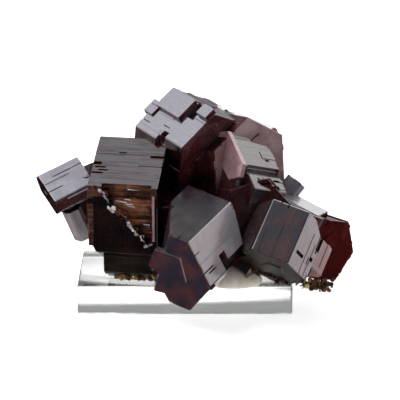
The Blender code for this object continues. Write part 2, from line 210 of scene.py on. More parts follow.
def vanadinite(
    name, deep, warm, lines=1.0, polish=0.12, frost_and_sheen=0.0, glow=0.25, etched=0.0, ior=VANADINITE_IOR
):
    """deep and warm are the stone's two colours. lines is the strength of the growth lines, the frost
    share that of the pale bloom, partly a frosted film and partly painted sheen of the bright studio, glow
    the light inside, and etched the share that has lost its polish."""
    paint = Paint(bpy.data.materials.new(name))
    surface = paint.add("ShaderNodeUVMap", {"uv_map": "UVMap"})
    solid = paint.add("ShaderNodeTexCoord", output="Object")
    long_lines = paint.noise(paint.stretch(surface, LINE_STRETCH), 1.0, 4.0, 0.62)
    fine_lines = paint.noise(paint.stretch(surface, FINE_LINE_STRETCH), 1.0, 2.0)
    bands = paint.noise(paint.stretch(surface, BAND_STRETCH), 1.0, 5.0, 0.7)
    patches = paint.noise(solid, PATCH_SCALE, 3.0)
    specks = paint.noise(solid, SPECK_SCALE, 2.0)
    height = (long_lines + fine_lines * 0.3) * lines + patches * 0.4 + specks * 0.01
    bump = paint.bump(height, RELIEF)
    streak = paint.between(long_lines, 0.42, 0.64)
    warmth = paint.between(patches * 0.6 + bands * 0.4, 0.44, 0.62)
    colour = paint.blend(warmth, (*deep, 1), (*warm, 1))
    # The pale mask lightens the base colour towards that grey: partly frosting, partly painted sheen.
    pale = paint.between(patches * 0.85 + streak * 0.15, 0.30, 0.75) * frost_and_sheen
    colour = paint.blend(pale, colour, BLOOM_AND_SHEEN)
    inputs = {
        "Base Color": colour,
        "Roughness": streak * 0.09 * lines + warmth * 0.06 + pale * 0.25 + polish,
        "Normal": bump,
        "IOR": ior,
        "Subsurface Weight": glow,
        "Subsurface Radius": RED_SCATTER,
        "Subsurface Scale": SCATTER_DEPTH,
    }
    shiny = paint.add("ShaderNodeBsdfPrincipled", {}, inputs)
    if not etched:
        return paint.finish(shiny)
    dull_colour = paint.blend(streak, (*deep, 1), tuple(value * 1.5 for value in warm) + (1,))
    inputs = {"Base Color": dull_colour, "Roughness": 0.55, "Normal": bump, "IOR": 1.45}
    dull = paint.add("ShaderNodeBsdfPrincipled", {}, inputs)
    share = paint.between(bands * 0.6 + long_lines * 0.4, 0.47, 0.58) * etched
    return paint.finish(paint.add("ShaderNodeMixShader", {}, {0: share, 1: shiny, 2: dull}))


# %% The finishes of the faces
# These finishes are tones of one stone. The pale rose, pink, blush and lavender ones partly paint the
# sheen and highlights that faces catch from the studio, and the near-black dark and olive ones partly
# paint the shade of faces turned away; each face gets the one that matches how bright it looks.
DARK = vanadinite("vanadinite dark", (0.004, 0.001, 0.001), (0.016, 0.003, 0.002), lines=0.3)
BROWN = vanadinite(
    "vanadinite brown", (0.016, 0.009, 0.007), (0.07, 0.028, 0.016), 0.35, etched=0.6, ior=2.15
)
UMBER = vanadinite("vanadinite umber", (0.040, 0.014, 0.008), (0.09, 0.038, 0.024), 0.4, etched=0.4)
LAVENDER = vanadinite("vanadinite pale", (0.04, 0.022, 0.03), (0.08, 0.05, 0.06), 0.12, frost_and_sheen=0.35)
# Light grey base colour: partly painted sheen of the bright studio on these faces, partly a frosted film.
FROSTED_AND_SHEEN = vanadinite("vanadinite frosted sheen", (0.28, 0.27, 0.30), (0.42, 0.40, 0.45), 0.05, frost_and_sheen=0.6)
SLATE = vanadinite(
    "vanadinite slate", (0.026, 0.023, 0.029), (0.05, 0.030, 0.030), 0.2, 0.14, etched=0.15
)
MAROON = vanadinite(
    "vanadinite maroon", (0.05, 0.010, 0.013), (0.085, 0.020, 0.022), 0.1, glow=0.4, ior=2.1
)
PLUM = vanadinite("vanadinite plum", (0.022, 0.018, 0.030), (0.085, 0.024, 0.022), 0.1, glow=0.3)
RED = vanadinite("vanadinite red", (0.045, 0.002, 0.001), (0.08, 0.003, 0.002), 0.1, glow=0.4, ior=1.9)
PALE = vanadinite("vanadinite rose", (0.24, 0.215, 0.225), (0.30, 0.255, 0.26), 0.12, frost_and_sheen=0.3)
PINK = vanadinite("vanadinite pink", (0.25, 0.135, 0.135), (0.31, 0.175, 0.165), 0.1, frost_and_sheen=0.3)
BLUSH = vanadinite("vanadinite blush", (0.33, 0.18, 0.19), (0.45, 0.26, 0.27), 0.1, frost_and_sheen=0.2)
BROKEN = vanadinite("vanadinite broken", (0.04, 0.012, 0.006), (0.30, 0.10, 0.035), 1.2, etched=0.3)
OLIVE = vanadinite(
    "vanadinite olive", (0.006, 0.004, 0.002), (0.022, 0.014, 0.009), 0.6, 0.32, etched=0.3, ior=1.42
)
# Near-white base colour: a painted highlight that makes the small facets on the break glint, not the
# stone's colour.
PAINTED_GLINT_WHITE = vanadinite("vanadinite painted glint", (0.80, 0.78, 0.80), (0.95, 0.95, 0.98), 0.2, glow=0.1)
print("mixed", len(bpy.data.materials), "materials so far")

# %% [markdown]
# ## The crystals' places
#
# Each crystal is set by its middle, by where its long axis points, by how far it is rolled about
# that axis, by the distance of its six side faces from the axis, and by its length. These are the
# same values that the solids were made from, in millimetres and degrees, with heights above
# the block's top. Keeping them as a table makes a crystal one line to read and one line to change.

# %% Table of crystals
BLOCK_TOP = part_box("clear_block")[1][2]
APOTHEM = math.cos(math.radians(30))
Crystal = namedtuple("Crystal", "centre heading tilt roll reach length side_finish end_finish")


def even(side):
    return [side * APOTHEM] * 6


# Side and end finishes are picked by how bright those faces look: the pale ones carry painted sheen, the
# near-black ones painted shade.
CRYSTALS = {
    "main": Crystal((-5.9, 0.0, 8.2), -10, 0, 30, even(7.9), 8.1, BROWN, DARK),
    "main_ledge": Crystal((-6.2, -3.2, 2.9), -10, 0, 30, [2.6, 3.0, 2.6, 2.4, 3.0, 2.6], 5.4, OLIVE, DARK),
    "upper": Crystal(
        (0.3, 3.3, 12.5), -45, -14, 37, [6.93, 4.94, 5.0, 6.93, 6.93, 6.93], 7.4, LAVENDER, MAROON
    ),
    "upper_left": Crystal(
        (-0.99, 4.59, 12.95), -45, -14, 37, [6.9, 5.5, 6.9, 6.9, 6.9, 6.9], 3.6, LAVENDER, MAROON
    ),
    "upper_back": Crystal((1.2, 7.2, 15.2), -40, -8, 4, even(3.6), 6.6, FROSTED_AND_SHEEN, MAROON),
    "crest_back": Crystal((6.8, 6.6, 12.8), -42, -7, 4, even(3.9), 6.8, FROSTED_AND_SHEEN, PINK),
    "stepped": Crystal((5.6, 1.3, 11.6), 43, -18, 42, even(4.6), 6.4, SLATE, MAROON),
    "stepped_low": Crystal(
        (7.5, -0.9, 8.8), 43, -18, 42, [3.4, 2.6, 2.4, 2.4, 2.4, 2.6], 5.6, SLATE, MAROON
    ),
    "broad": Crystal((5.1, 4.0, 11.7), -50, 5, 30, even(6.2), 8.0, MAROON, PINK),
    "front": Crystal((0.5, -7.5, 5.2), 55, 17, 11, even(5.8), 8.7, SLATE, PLUM),
    "right": Crystal((11.0, -7.1, 5.7), 56, 46, 23, even(4.35), 6.6, SLATE, OLIVE),
    "right_bud": Crystal((14.5, -7.0, 4.3), 56, 46, 83, [1.15, 2.2, 2.2, 1.4, 2.2, 2.2], 3.6, PINK, PINK),
    "far_right": Crystal((14.9, -0.6, 3.3), -48, 0, -17, even(4.1), 6.5, RED, RED),
    "slab": Crystal((13.4, 0.9, 7.1), -30, -18, -4, [0.9, 1.7, 1.7, 0.9, 1.7, 1.7], 6.2, SLATE, MAROON),
    "slab_bud": Crystal((12.0, 3.0, 8.2), 20, 48, 10, even(1.3), 4.2, FROSTED_AND_SHEEN, PALE),
    "left": Crystal((-13.8, 0.2, 10.1), 24, 20, 34, [1.6, 2.6, 2.35, 1.6, 2.6, 2.6], 5.2, LAVENDER, DARK),
    "left_low": Crystal((-12.6, -0.3, 5.9), 35, -66, 172, even(1.3), 4.2, PALE, DARK),
    "left_back": Crystal((-10.6, 2.4, 10.2), -64, 24, 10, even(2.3), 5.4, SLATE, MAROON),
    "left_heart": Crystal((-10.6, 1.6, 7.6), 12, 30, 20, even(2.4), 5.0, MAROON, MAROON),
    "heart": Crystal((6.4, -0.6, 6.6), -62, 12, 8, even(5.0), 8.6, MAROON, MAROON),
    "heart_left": Crystal((-0.6, 0.6, 6.4), 24, 8, 20, even(4.6), 9.0, MAROON, MAROON),
    "foot": Crystal((6.9, -5.4, 2.9), -38, -24, 12, even(1.7), 3.4, DARK, DARK),
    "rear": Crystal((-2.6, 6.4, 5.9), 62, -12, 24, even(4.4), 6.8, SLATE, MAROON),
    "rear_right": Crystal((7.4, 5.6, 6.2), 118, 14, 12, even(4.0), 7.6, SLATE, RED),
    "rear_bud": Crystal((1.6, 8.4, 9.2), 84, 38, 5, even(2.4), 5.0, BROWN, MAROON),
}
print(len(CRYSTALS), "crystals")

# %% [markdown]
# ## One crystal, by cleaving
#
# A real crystal is bounded by flat planes. A six-sided cylinder is added a little too large and then
# cleaved with the bisect tool, once for each plane that lies closer in, which is how a stone cutter
# would think of it. The edges get a bevel of less than a tenth of a millimetre, because the thin
# bright line along an edge is what makes a crystal look sharp.


# %% Helpers for modelling in edit mode
def start_edit(obj):
    bpy.ops.object.select_all(action="DESELECT")
    bpy.context.view_layer.objects.active = obj
    obj.select_set(True)
    bpy.ops.object.mode_set(mode="EDIT")
    bpy.ops.mesh.select_all(action="SELECT")


def end_edit():
    bpy.ops.object.mode_set(mode="OBJECT")


def cleave(obj, point, normal):
    """Cuts away all that lies beyond a plane, and closes the cut."""
    start_edit(obj)
    bpy.ops.mesh.bisect(plane_co=point, plane_no=normal, use_fill=True, clear_outer=True)
    end_edit()


def bevel_edges(obj, width, segments=1):
    start_edit(obj)
    bpy.ops.mesh.bevel(offset=width, segments=segments, affect="EDGES")
    end_edit()


def face_direction(face):
    angle = math.radians(60 * face)
    return Vector((math.cos(angle), math.sin(angle), 0.0))


def placement(crystal):
    """From a crystal's own axes to the world: X out of face 0, Z along the crystal."""
    heading, tilt, roll = (math.radians(value) for value in crystal[1:4])
    east, north = math.cos(heading), math.sin(heading)
    along = Vector((math.cos(tilt) * east, math.cos(tilt) * north, math.sin(tilt)))
    upward = Vector((-math.sin(tilt) * east, -math.sin(tilt) * north, math.cos(tilt)))
    face = math.cos(roll) * upward + math.sin(roll) * along.cross(upward)
    turned = Matrix((face, along.cross(face), along)).transposed().to_4x4()
    centre = Vector(crystal.centre) * MM + Vector((0, 0, BLOCK_TOP))
    return Matrix.Translation(centre) @ turned


# %% Finish and map a shape that is still in its crystal's own axes
# Side faces that differ from the rest of their crystal, by number. low is the end at the low side.
# Which finish a face gets follows how bright it looks: the pale finishes put painted sheen on faces that
# catch the light, the near-black ones painted shade on faces turned away.
FACE_FINISHES = {
    "main": {1: DARK, 2: OLIVE},
    "front": {1: PALE},
    "right": {0: PLUM, 1: PALE, 2: OLIVE, 3: OLIVE, "low": OLIVE},
    "left": {0: FROSTED_AND_SHEEN, 1: MAROON},
    "slab": {0: FROSTED_AND_SHEEN, 1: FROSTED_AND_SHEEN, 5: FROSTED_AND_SHEEN},
    "upper": {1: DARK},
    "upper_left": {1: DARK},
}
END_STRETCH = 12
WIDEST_SHIFT = 40


def face_index(normal):
    return round(math.degrees(math.atan2(normal.y, normal.x)) / 60) % 6


def paint_faces(obj, name, finish=None):
    """Ends and sides get their own finishes, and the UV map runs along the crystal."""
    crystal = CRYSTALS[name]
    special = FACE_FINISHES.get(name, {})
    chosen = {"side": crystal.side_finish, "low": crystal.end_finish, "high": crystal.end_finish}
    chosen.update(special)
    if finish:
        chosen = {key: finish for key in chosen}
    slots = []
    for material in chosen.values():
        if material not in slots:
            slots.append(material)
            obj.data.materials.append(material)
    layer = obj.data.uv_layers.active or obj.data.uv_layers.new(name="UVMap")
    layer.name = "UVMap"
    shift = random.uniform(0, WIDEST_SHIFT)
    for polygon in obj.data.polygons:
        is_end = abs(polygon.normal.z) > 0.8
        key = ("low" if polygon.normal.z < 0 else "high") if is_end else face_index(polygon.normal)
        polygon.material_index = slots.index(chosen.get(key, chosen["side"]))
        across = Vector((-polygon.normal.y, polygon.normal.x, 0.0))
        for loop in polygon.loop_indices:
            place = obj.data.vertices[obj.data.loops[loop].vertex_index].co / MM
            first, second = (place.x * END_STRETCH, place.y) if is_end else (place.z, place.dot(across))
            layer.data[loop].uv = (first + shift, second + shift)


def settle(obj, matrix, collection):
    """Puts the place in the mesh, leaves the object at the origin, and files it in a collection."""
    obj.data.transform(matrix)
    obj.matrix_world = Matrix.Identity(4)
    for old in list(obj.users_collection):
        old.objects.unlink(obj)
    collection.objects.link(obj)
    return obj


# %% Cleave a crystal
EDGE = 0.08 * MM
MAP_SEED = 4
SPARE = 1.6
Chip = namedtuple("Chip", "point direction")
CHIPS = {
    "main": [Chip((0.0, 7.9, -3.2), (-0.39, 0.225, -0.89))],
    "front": [Chip((4.9, -2.6, 0.3), (0.25, -1.0, -0.62)), Chip((4.6, 3.6, 4.0), (0.2, 0.9, 0.9))],
    "right": [Chip((1.5, 3.6, 2.6), (0.1, 0.9, 0.6))],
    "far_right": [Chip((2.4, 3.0, 2.7), (0.5, 0.7, 0.9))],
    "stepped": [Chip((3.9, -1.2, 2.9), (0.3, -0.75, 0.75))],
}


def make_crystal(name, collection):
    crystal = CRYSTALS[name]
    widest = max(crystal.reach)
    spare = 1.0 if min(crystal.reach) == widest else SPARE
    radius = widest / APOTHEM * spare * MM
    bpy.ops.object.select_all(action="DESELECT")
    bpy.ops.mesh.primitive_cylinder_add(vertices=6, radius=radius, depth=crystal.length * MM)
    obj = bpy.context.active_object
    obj.name = "crystal_" + name
    if spare > 1:
        for face, reach in enumerate(crystal.reach):
            cleave(obj, face_direction(face) * reach * MM, face_direction(face))
    for chip in CHIPS.get(name, []):
        cleave(obj, Vector(chip.point) * MM, Vector(chip.direction).normalized())
    bevel_edges(obj, EDGE)
    paint_faces(obj, name)
    return settle(obj, placement(crystal), collection)


def new_collection(name):
    collection = bpy.data.collections.new(name)
    bpy.context.scene.collection.children.link(collection)
    return collection


random.seed(MAP_SEED)
joined = new_collection("crystals to join")
cutters = new_collection("cuts")
for name in CRYSTALS:
    make_crystal(name, joined)

# %% [markdown]
# ## Steps, slots and plates
#
# Vanadinite grows in steps: flat tiers with straight sides that follow the prism, and narrow slots
# where growth stopped. A tier is a cube laid on a face and joined, and a slot is the same cube let
# into the face and cut away. Both are placed in the crystal's own axes, so they always run true: by
# the number of the side face, the place along and across it, the two lengths, and the rise, which is
# below zero for a slot.

# %% Steps and slots
Step = namedtuple("Step", "crystal face along across long wide rise")
STEPS = [
    Step("main", 0, 3.35, -1.0, 1.8, 0.42, -0.8),
    Step("main", 0, -0.85, -1.45, 0.9, 0.2, -0.35),
    Step("main", 0, -3.5, 0.3, 0.9, 0.5, -0.3),
    Step("main", 0, -3.1, 0.9, 1.3, 0.24, -0.4),
    Step("main", 0, -2.7, 1.35, 1.1, 0.24, -0.4),
    Step("main", 0, -3.3, 1.8, 1.3, 0.3, -0.35),
    Step("main", 2, 0.6, 1.6, 5.6, 1.4, 0.35),
    Step("upper", 0, -1.2, -2.5, 3.8, 3.0, 0.6),
    Step("upper", 0, -3.5, -0.7, 1.4, 1.9, 0.28),
    Step("upper", 0, 2.7, -3.5, 1.6, 1.5, 0.55),
    Step("upper", 0, 1.4, -3.1, 1.2, 2.4, -0.8),
    Step("upper", 0, 0.5, 1.6, 0.8, 1.3, -1.0),
    Step("stepped", 0, 1.6, 1.1, 0.7, 0.3, -0.5),
    Step("stepped", 0, 0.4, 3.0, 5.4, 1.7, -0.3),
    Step("stepped_low", 0, 0.9, 0.6, 1.7, 0.6, -0.6),
    Step("stepped_low", 0, -0.8, 0.3, 1.2, 0.26, -0.5),
    Step("stepped_low", 0, 1.6, -0.4, 1.0, 0.24, -0.5),
    Step("broad", 5, -1.5, 0.6, 2.6, 0.5, -0.5),
    Step("broad", 5, 2.2, -0.8, 1.6, 0.4, -0.5),
    Step("front", 1, 2.2, 2.6, 5.4, 1.3, -1.0),
    Step("front", 1, -0.6, 1.9, 1.1, 2.2, -1.3),
    Step("front", 1, -3.5, 1.2, 1.9, 0.16, -0.3),
    Step("front", 1, -3.0, 1.6, 1.3, 0.16, -0.3),
    Step("front", 2, -1.6, -1.6, 3.2, 1.2, 0.3),
    Step("front", 0, -0.2, -2.5, 0.9, 1.0, -0.9),
    Step("right", 1, -1.4, -0.8, 0.42, 1.5, -0.5),
    Step("right", 1, 1.0, 1.7, 2.0, 0.26, -0.5),
    Step("right", 1, -1.3, 0.9, 1.0, 0.24, -0.5),
    Step("right", 1, -0.9, 1.45, 0.5, 0.5, -0.4),
    Step("right", 1, 1.9, 1.9, 3.0, 1.0, -0.35),
    Step("right", 2, -0.4, -0.8, 4.2, 1.6, 0.4),
    Step("left", 0, -1.8, 0.6, 2.0, 0.14, -0.3),
    Step("left", 1, 0.6, 0.4, 3.4, 0.9, 0.3),
    Step("far_right", 1, 0.6, 0.2, 3.8, 2.6, 0.25),
    Step("heart", 5, 1.0, 0.4, 5.0, 3.0, 0.5),
    Step("rear", 0, 0.6, 0.4, 4.6, 2.6, 0.4),
    Step("rear", 1, -0.4, -0.6, 3.6, 1.8, 0.5),
    Step("rear_right", 0, 0.8, 0.2, 5.0, 2.4, 0.4),
    Step("rear_right", 5, 0.4, 0.6, 3.6, 1.6, 0.5),
]

# %% Lay the steps and let in the slots
BITE = 0.5
LOWEST_BEVEL = 0.14

bpy.ops.object.select_all(action="DESELECT")
bpy.ops.mesh.primitive_cube_add(size=MM)
plain_cube = bpy.context.active_object
plain_cube.name = "plain_cube"


def copy_cube(name):
    """A copy with its own mesh of the one cube that all steps, slots and shards start from."""
    obj = plain_cube.copy()
    obj.data = plain_cube.data.copy()
    obj.name = name
    bpy.context.scene.collection.objects.link(obj)
    return obj


def make_step(step, number, finish=None):
    """A raised step is sunk into its face, and a cutter stands proud of it."""
    crystal = CRYSTALS[step.crystal]
    low, high = (-BITE, step.rise) if step.rise > 0 else (step.rise, BITE)
    ahead = face_direction(step.face)
    across = Vector((-ahead.y, ahead.x, 0.0))
    middle = ahead * (crystal.reach[step.face] + (low + high) / 2) + across * step.across
    middle.z = step.along
    obj = copy_cube(f"step_{number}")
    size = Matrix.Diagonal((high - low, step.wide, step.long, 1.0))
    turn = Matrix.Rotation(math.radians(60 * step.face), 4, "Z")
    obj.data.transform(Matrix.Translation(middle * MM) @ turn @ size)
    if step.rise > LOWEST_BEVEL:
        bevel_edges(obj, EDGE / 2)
    paint_faces(obj, step.crystal, finish)
    return settle(obj, placement(crystal), joined if step.rise > 0 else cutters)


for number, step in enumerate(STEPS):
    make_step(step, number)
print("made", len(STEPS), "steps and slots")

# %% [markdown]
# ## Terraces on the ends
#
# The flat ends carry low terraces with straight but uneven outlines. An outline is drawn as one
# filled ring of corners and pulled up with extrude. The near end of the right-hand crystal has a row
# of small plates along its lower rim, each standing out by its own amount.

# %% Terraces and the row of plates
Terrace = namedtuple("Terrace", "crystal end outline rise")
TERRACES = [
    Terrace(
        "stepped",
        -1,
        [
            (2.5, -3.4),
            (4.1, -2.4),
            (4.1, 2.3),
            (3.0, 3.3),
            (1.4, 2.6),
            (1.3, 0.4),
            (0.9, -0.6),
            (1.4, -1.8),
        ],
        0.13,
    ),
    Terrace("front", -1, [(-0.6, -2.6), (2.2, -1.6), (2.4, 1.8), (-0.8, 2.6), (-2.0, 0.4)], 0.15),
    Terrace("far_right", 1, [(-2.4, -1.6), (0.6, -2.4), (2.2, 0.4), (0.8, 2.4), (-2.2, 1.4)], 0.12),
    Terrace("upper", 1, [(-4.0, -4.6), (3.2, -4.4), (3.6, 0.8), (-1.2, 3.2), (-4.4, 0.6)], 0.25),
    Terrace("broad", 1, [(-3.6, -3.4), (2.6, -3.4), (3.0, 0.4), (-2.4, 2.4)], 0.2),
    Terrace("rear", 1, [(-2.2, -2.0), (1.8, -2.6), (2.6, 0.8), (-0.6, 2.8)], 0.35),
    Terrace("rear_right", 1, [(-2.4, -1.2), (1.4, -2.2), (2.4, 1.4), (-1.0, 2.2)], 0.35),
]
PLATE_COUNT = 9
PLATE_ROW = 4.4
PLATE_RIM = -3.2
PLATE_SEED = 7


def plates_on_the_rim():
    chance = random.Random(PLATE_SEED)
    plates = []
    pitch = PLATE_ROW / PLATE_COUNT
    for index in range(PLATE_COUNT):
        left = -PLATE_ROW / 2 + pitch * index
        right = left + pitch * chance.uniform(1.1, 1.3)
        rim = PLATE_RIM + chance.uniform(-0.15, 0.15)
        inner = rim + chance.uniform(0.5, 1.1)
        outline = [(rim, left), (inner, left), (inner, right), (rim, right)]
        plates.append(Terrace("right", -1, outline, chance.uniform(0.15, 0.7)))
    return plates


# %% Raise the terraces
def make_terrace(terrace, number, finish=None):
    crystal = CRYSTALS[terrace.crystal]
    end = terrace.end * crystal.length / 2
    root = end - terrace.end * BITE
    crest = end + terrace.end * terrace.rise
    bottom, top = min(root, crest), max(root, crest)
    ring = bpy.data.meshes.new(f"terrace_{number}")
    corners = [(x * MM, y * MM, bottom * MM) for x, y in terrace.outline]
    ring.from_pydata(corners, [], [list(range(len(corners)))])
    obj = bpy.data.objects.new(f"terrace_{number}", ring)
    bpy.context.scene.collection.objects.link(obj)
    start_edit(obj)
    bpy.ops.mesh.extrude_region_move(TRANSFORM_OT_translate={"value": (0, 0, (top - bottom) * MM)})
    bpy.ops.mesh.select_all(action="SELECT")
    bpy.ops.mesh.normals_make_consistent(inside=False)
    end_edit()
    if terrace.rise > LOWEST_BEVEL:
        bevel_edges(obj, EDGE / 2)
    paint_faces(obj, terrace.crystal, finish)
    return settle(obj, placement(crystal), joined)


for number, terrace in enumerate(TERRACES + plates_on_the_rim()):
    make_terrace(terrace, number, BLUSH if terrace.crystal == "stepped" else None)
print("made", len(TERRACES) + PLATE_COUNT, "terraces and plates")

# %% [markdown]
# ## The broken corner
#
# The big crystal's front is broken along a slant. A fracture in vanadinite runs in ragged stairs, and
# the fresh break is orange-brown because light comes through the thin edges. The stairs are cut one
# row at a time, each a little shorter and of another depth. Then cutters that are turned to face the
# light shave small flat facets off the slope, because such facets make a real break glitter. Many of
# these facets, and the thin splinters among them, get a near-white finish: a painted highlight.

# %% Cuts of the broken corner
BREAK_STAIRS = 8
BREAK_TOP = -4.2
BREAK_PITCH = 0.84
BREAK_FIRST_NUMBER = 100


def break_cuts():
    cuts = []
    for index in range(BREAK_STAIRS):
        left = -2.4 + 0.70 * index
        right = 3.35 + 0.16 * math.sin(3.4 * index)
        depth = 0.95 + 0.28 * math.sin(2.1 * index)
        across = BREAK_TOP + BREAK_PITCH * (index + 0.5)
        cuts.append(
            Step("main", 1, (left + right) / 2, across, right - left, BREAK_PITCH + 0.04, -depth)
        )
    return cuts


for number, step in enumerate(break_cuts()):
    make_step(step, BREAK_FIRST_NUMBER + number, BROKEN)
print("cut", BREAK_STAIRS, "stairs")

# %% Glinting shards along the break
GLINT_NORMAL = Vector((-0.29, -0.56, 0.77)).normalized()
GLINT_SPREAD = 0.22
GLINT_COUNT = 34
GLINT_SEED = 11
SPLINTER_COUNT = 14


def make_facet(name, face, place_on_face, size, normal, lie, finish, number):
    """A turned cube that shaves a small flat facet off a face. lie is how far its long side goes along
    and across the crystal."""
    crystal = CRYSTALS[name]
    along, across, depth = place_on_face
    ahead = face_direction(face)
    sideways = Vector((-ahead.y, ahead.x, 0.0))
    place = ahead * (crystal.reach[face] - depth) + sideways * across
    place.z = along
    centre = placement(crystal) @ (place * MM)
    obj = copy_cube(f"facet_{number}")
    shape = Matrix.Diagonal((*size, 1.0))
    obj.data.transform(Matrix.Translation((0, 0, size[2] / 2 * MM)) @ shape)
    paint_faces(obj, name, finish)
    long_side = placement(crystal).to_3x3() @ (Vector((0, 0, lie[0])) + sideways * lie[1])
    side = normal.cross(long_side).normalized()
    turn = Matrix((side.cross(normal), side, normal)).transposed().to_4x4()
    return settle(obj, Matrix.Translation(centre) @ turn, cutters)


def cut_glints(chance):
    for index in range(GLINT_COUNT):
        share = index / (GLINT_COUNT - 1)
        along = -2.9 + 5.7 * share + chance.uniform(-0.3, 0.35)
        across = -3.6 + 6.6 * share + chance.uniform(-0.35, 0.3)
        wander = Vector([chance.uniform(-GLINT_SPREAD, GLINT_SPREAD) for _ in range(3)])
        size = (chance.uniform(0.4, 1.2), chance.uniform(0.08, 0.3) + 0.2 * share, 1.0)
        # Many facets get the near-white finish, a painted highlight.
        finish = chance.choices((PAINTED_GLINT_WHITE, DARK, BROKEN), (6, 4, 2))[0]
        place = (along, across, chance.uniform(0.05, 0.22))
        normal = (GLINT_NORMAL + wander).normalized()
        lie = (chance.uniform(0.6, 1.3), 1.0)
        make_facet("main", 1, place, size, normal, lie, finish, index)


# The thin splinters all get the near-white finish: painted highlight streaks on the break.
def cut_splinters(chance):
    for index in range(SPLINTER_COUNT):
        along = chance.uniform(-1.6, 3.0)
        across = chance.uniform(-3.4, 1.4)
        thin = (chance.uniform(0.5, 1.4), chance.uniform(0.05, 0.1), 1.0)
        place = (max(along, across - 0.4), across, 1.05)
        make_facet("main", 1, place, thin, GLINT_NORMAL, (1.0, 0.1), PAINTED_GLINT_WHITE, GLINT_COUNT + index)


break_chance = random.Random(GLINT_SEED)
cut_glints(break_chance)
cut_splinters(break_chance)
print("shaved", GLINT_COUNT, "glints and", SPLINTER_COUNT, "splinters")

# %% Thin tinted strips on the big crystal, one of them a painted glow
TINTED_STRIPS = [
    (Step("main", 1, 0.0, -3.35, 8.0, 1.2, 0.06), UMBER),
    # The umber strip at the left end is painted glow: the orange-brown light that comes through the
    # crystal's thin rim.
    (Step("main", 1, -3.7, 0.2, 0.6, 6.0, 0.04), UMBER),
    (Step("main", 1, 3.6, -0.4, 0.3, 5.4, 0.09), BLUSH),
]
STRIP_FIRST_NUMBER = 400
for number, (skin, finish) in enumerate(TINTED_STRIPS):
    make_step(skin, STRIP_FIRST_NUMBER + number, finish)
print("laid", len(TINTED_STRIPS), "tinted strips")

# %% [markdown]
# ## Fine growth marks
#
# Under a lens no face is blank. Thin tiers a few hundredths of a millimetre high run along the sides,
# narrow clefts open at the edges, and the ends carry low flat islands. They are scattered by chance
# with a fixed seed, so the same marks come back on every run.


# %% Where a mark may lie
def face_span(crystal, face):
    """How far a side face reaches to either side of its middle line, between its two neighbours."""
    reach = crystal.reach
    before = (reach[face - 1] - reach[face] / 2) / APOTHEM
    after = (reach[(face + 1) % 6] - reach[face] / 2) / APOTHEM
    return -before, after


def chipped_away(name, corners):
    """True where a mark would hang in the air, because a chip has taken that part of the crystal."""
    return any(
        (corner - Vector(chip.point)).dot(Vector(chip.direction)) > 0
        for chip in CHIPS.get(name, [])
        for corner in corners
    )


def tier_corners(step):
    ahead = face_direction(step.face)
    across = Vector((-ahead.y, ahead.x, 0.0))
    middle = ahead * CRYSTALS[step.crystal].reach[step.face] + across * step.across
    middle.z = step.along
    half_wide = across * step.wide / 2
    half_long = Vector((0.0, 0.0, step.long / 2))
    return [middle + a * half_wide + b * half_long for a in (-1, 1) for b in (-1, 1)]


# %% Tiers and clefts on a side face
TIER_RISE = (0.04, 0.11)
TIER_MARGIN = 0.05
CLEFT_DEPTH = (0.12, 0.4)
CLEFT_WIDTH = (0.05, 0.15)
BROKEN_SHARE = 0.3
FIRST_MARK_NUMBER = 200
mark_numbers = itertools.count(FIRST_MARK_NUMBER)


def scatter_tiers(chance, name, face, count):
    crystal = CRYSTALS[name]
    left, right = face_span(crystal, face)
    for _ in range(count):
        long = chance.uniform(0.25, 0.8) * crystal.length
        along = chance.choice((-1, 1)) * (crystal.length / 2 - long / 2 - 0.02)
        wide = chance.uniform(0.06, 0.22) * (right - left)
        across = chance.uniform(left + wide / 2 + TIER_MARGIN, right - wide / 2 - TIER_MARGIN)
        tier = Step(name, face, along, across, long, wide, chance.uniform(*TIER_RISE))
        if not chipped_away(name, tier_corners(tier)):
            make_step(tier, next(mark_numbers))


def scatter_clefts(chance, name, face, count):
    crystal = CRYSTALS[name]
    left, right = face_span(crystal, face)
    for _ in range(count):
        long = chance.uniform(0.3, 1.5)
        along = chance.choice((-1, 1)) * (crystal.length / 2 - chance.uniform(-0.1, 0.5) * long)
        across = chance.uniform(left + 0.1, right - 0.1)
        wide = chance.uniform(*CLEFT_WIDTH)
        cleft = Step(name, face, along, across, long, wide, -chance.uniform(*CLEFT_DEPTH))
        finish = BROKEN if chance.random() < BROKEN_SHARE else None
        make_step(cleft, next(mark_numbers), finish)


# %% Islands on an end
ISLAND_RISE = (0.04, 0.12)


def scatter_island(chance, name, end):
    crystal = CRYSTALS[name]
    nearest = min(crystal.reach)
    middle = Vector([chance.uniform(-0.3, 0.3) * nearest for _ in range(2)])
    size = nearest * chance.uniform(0.35, 0.6)
    outline = []
    for corner in range(6):
        turn = math.radians(60 * corner + 30)
        reach = size * chance.uniform(0.7, 1.15)
        outline.append(tuple(middle + Vector((math.cos(turn), math.sin(turn))) * reach))
    island = Terrace(name, end, outline, chance.uniform(*ISLAND_RISE))
    if not chipped_away(name, [Vector((*spot, end * crystal.length / 2)) for spot in outline]):
        make_terrace(island, next(mark_numbers))


# %% Scatter them over the crystals that can be seen
HIDDEN = ("heart", "heart_left", "left_heart", "foot")
NARROWEST_FACE = 1.2
WIDE_FACE = 3
MARK_SEED = 21


def scatter_marks(chance):
    for name, crystal in CRYSTALS.items():
        if name in HIDDEN:
            continue
        for face in range(6):
            left, right = face_span(crystal, face)
            if right - left < NARROWEST_FACE:
                continue
            is_wide = right - left > WIDE_FACE
            scatter_tiers(chance, name, face, 2 if is_wide else 1)
            scatter_clefts(chance, name, face, 3 if is_wide else 1)
        for end in (-1, 1):
            scatter_island(chance, name, end)


scatter_marks(random.Random(MARK_SEED))

# %% [markdown]
# ## Joining the cluster
#
# The crystals grew into one another, so they become one closed solid. An exact Boolean joins them and
# then cuts the slots. It carries the UV maps and the finishes over to the result.

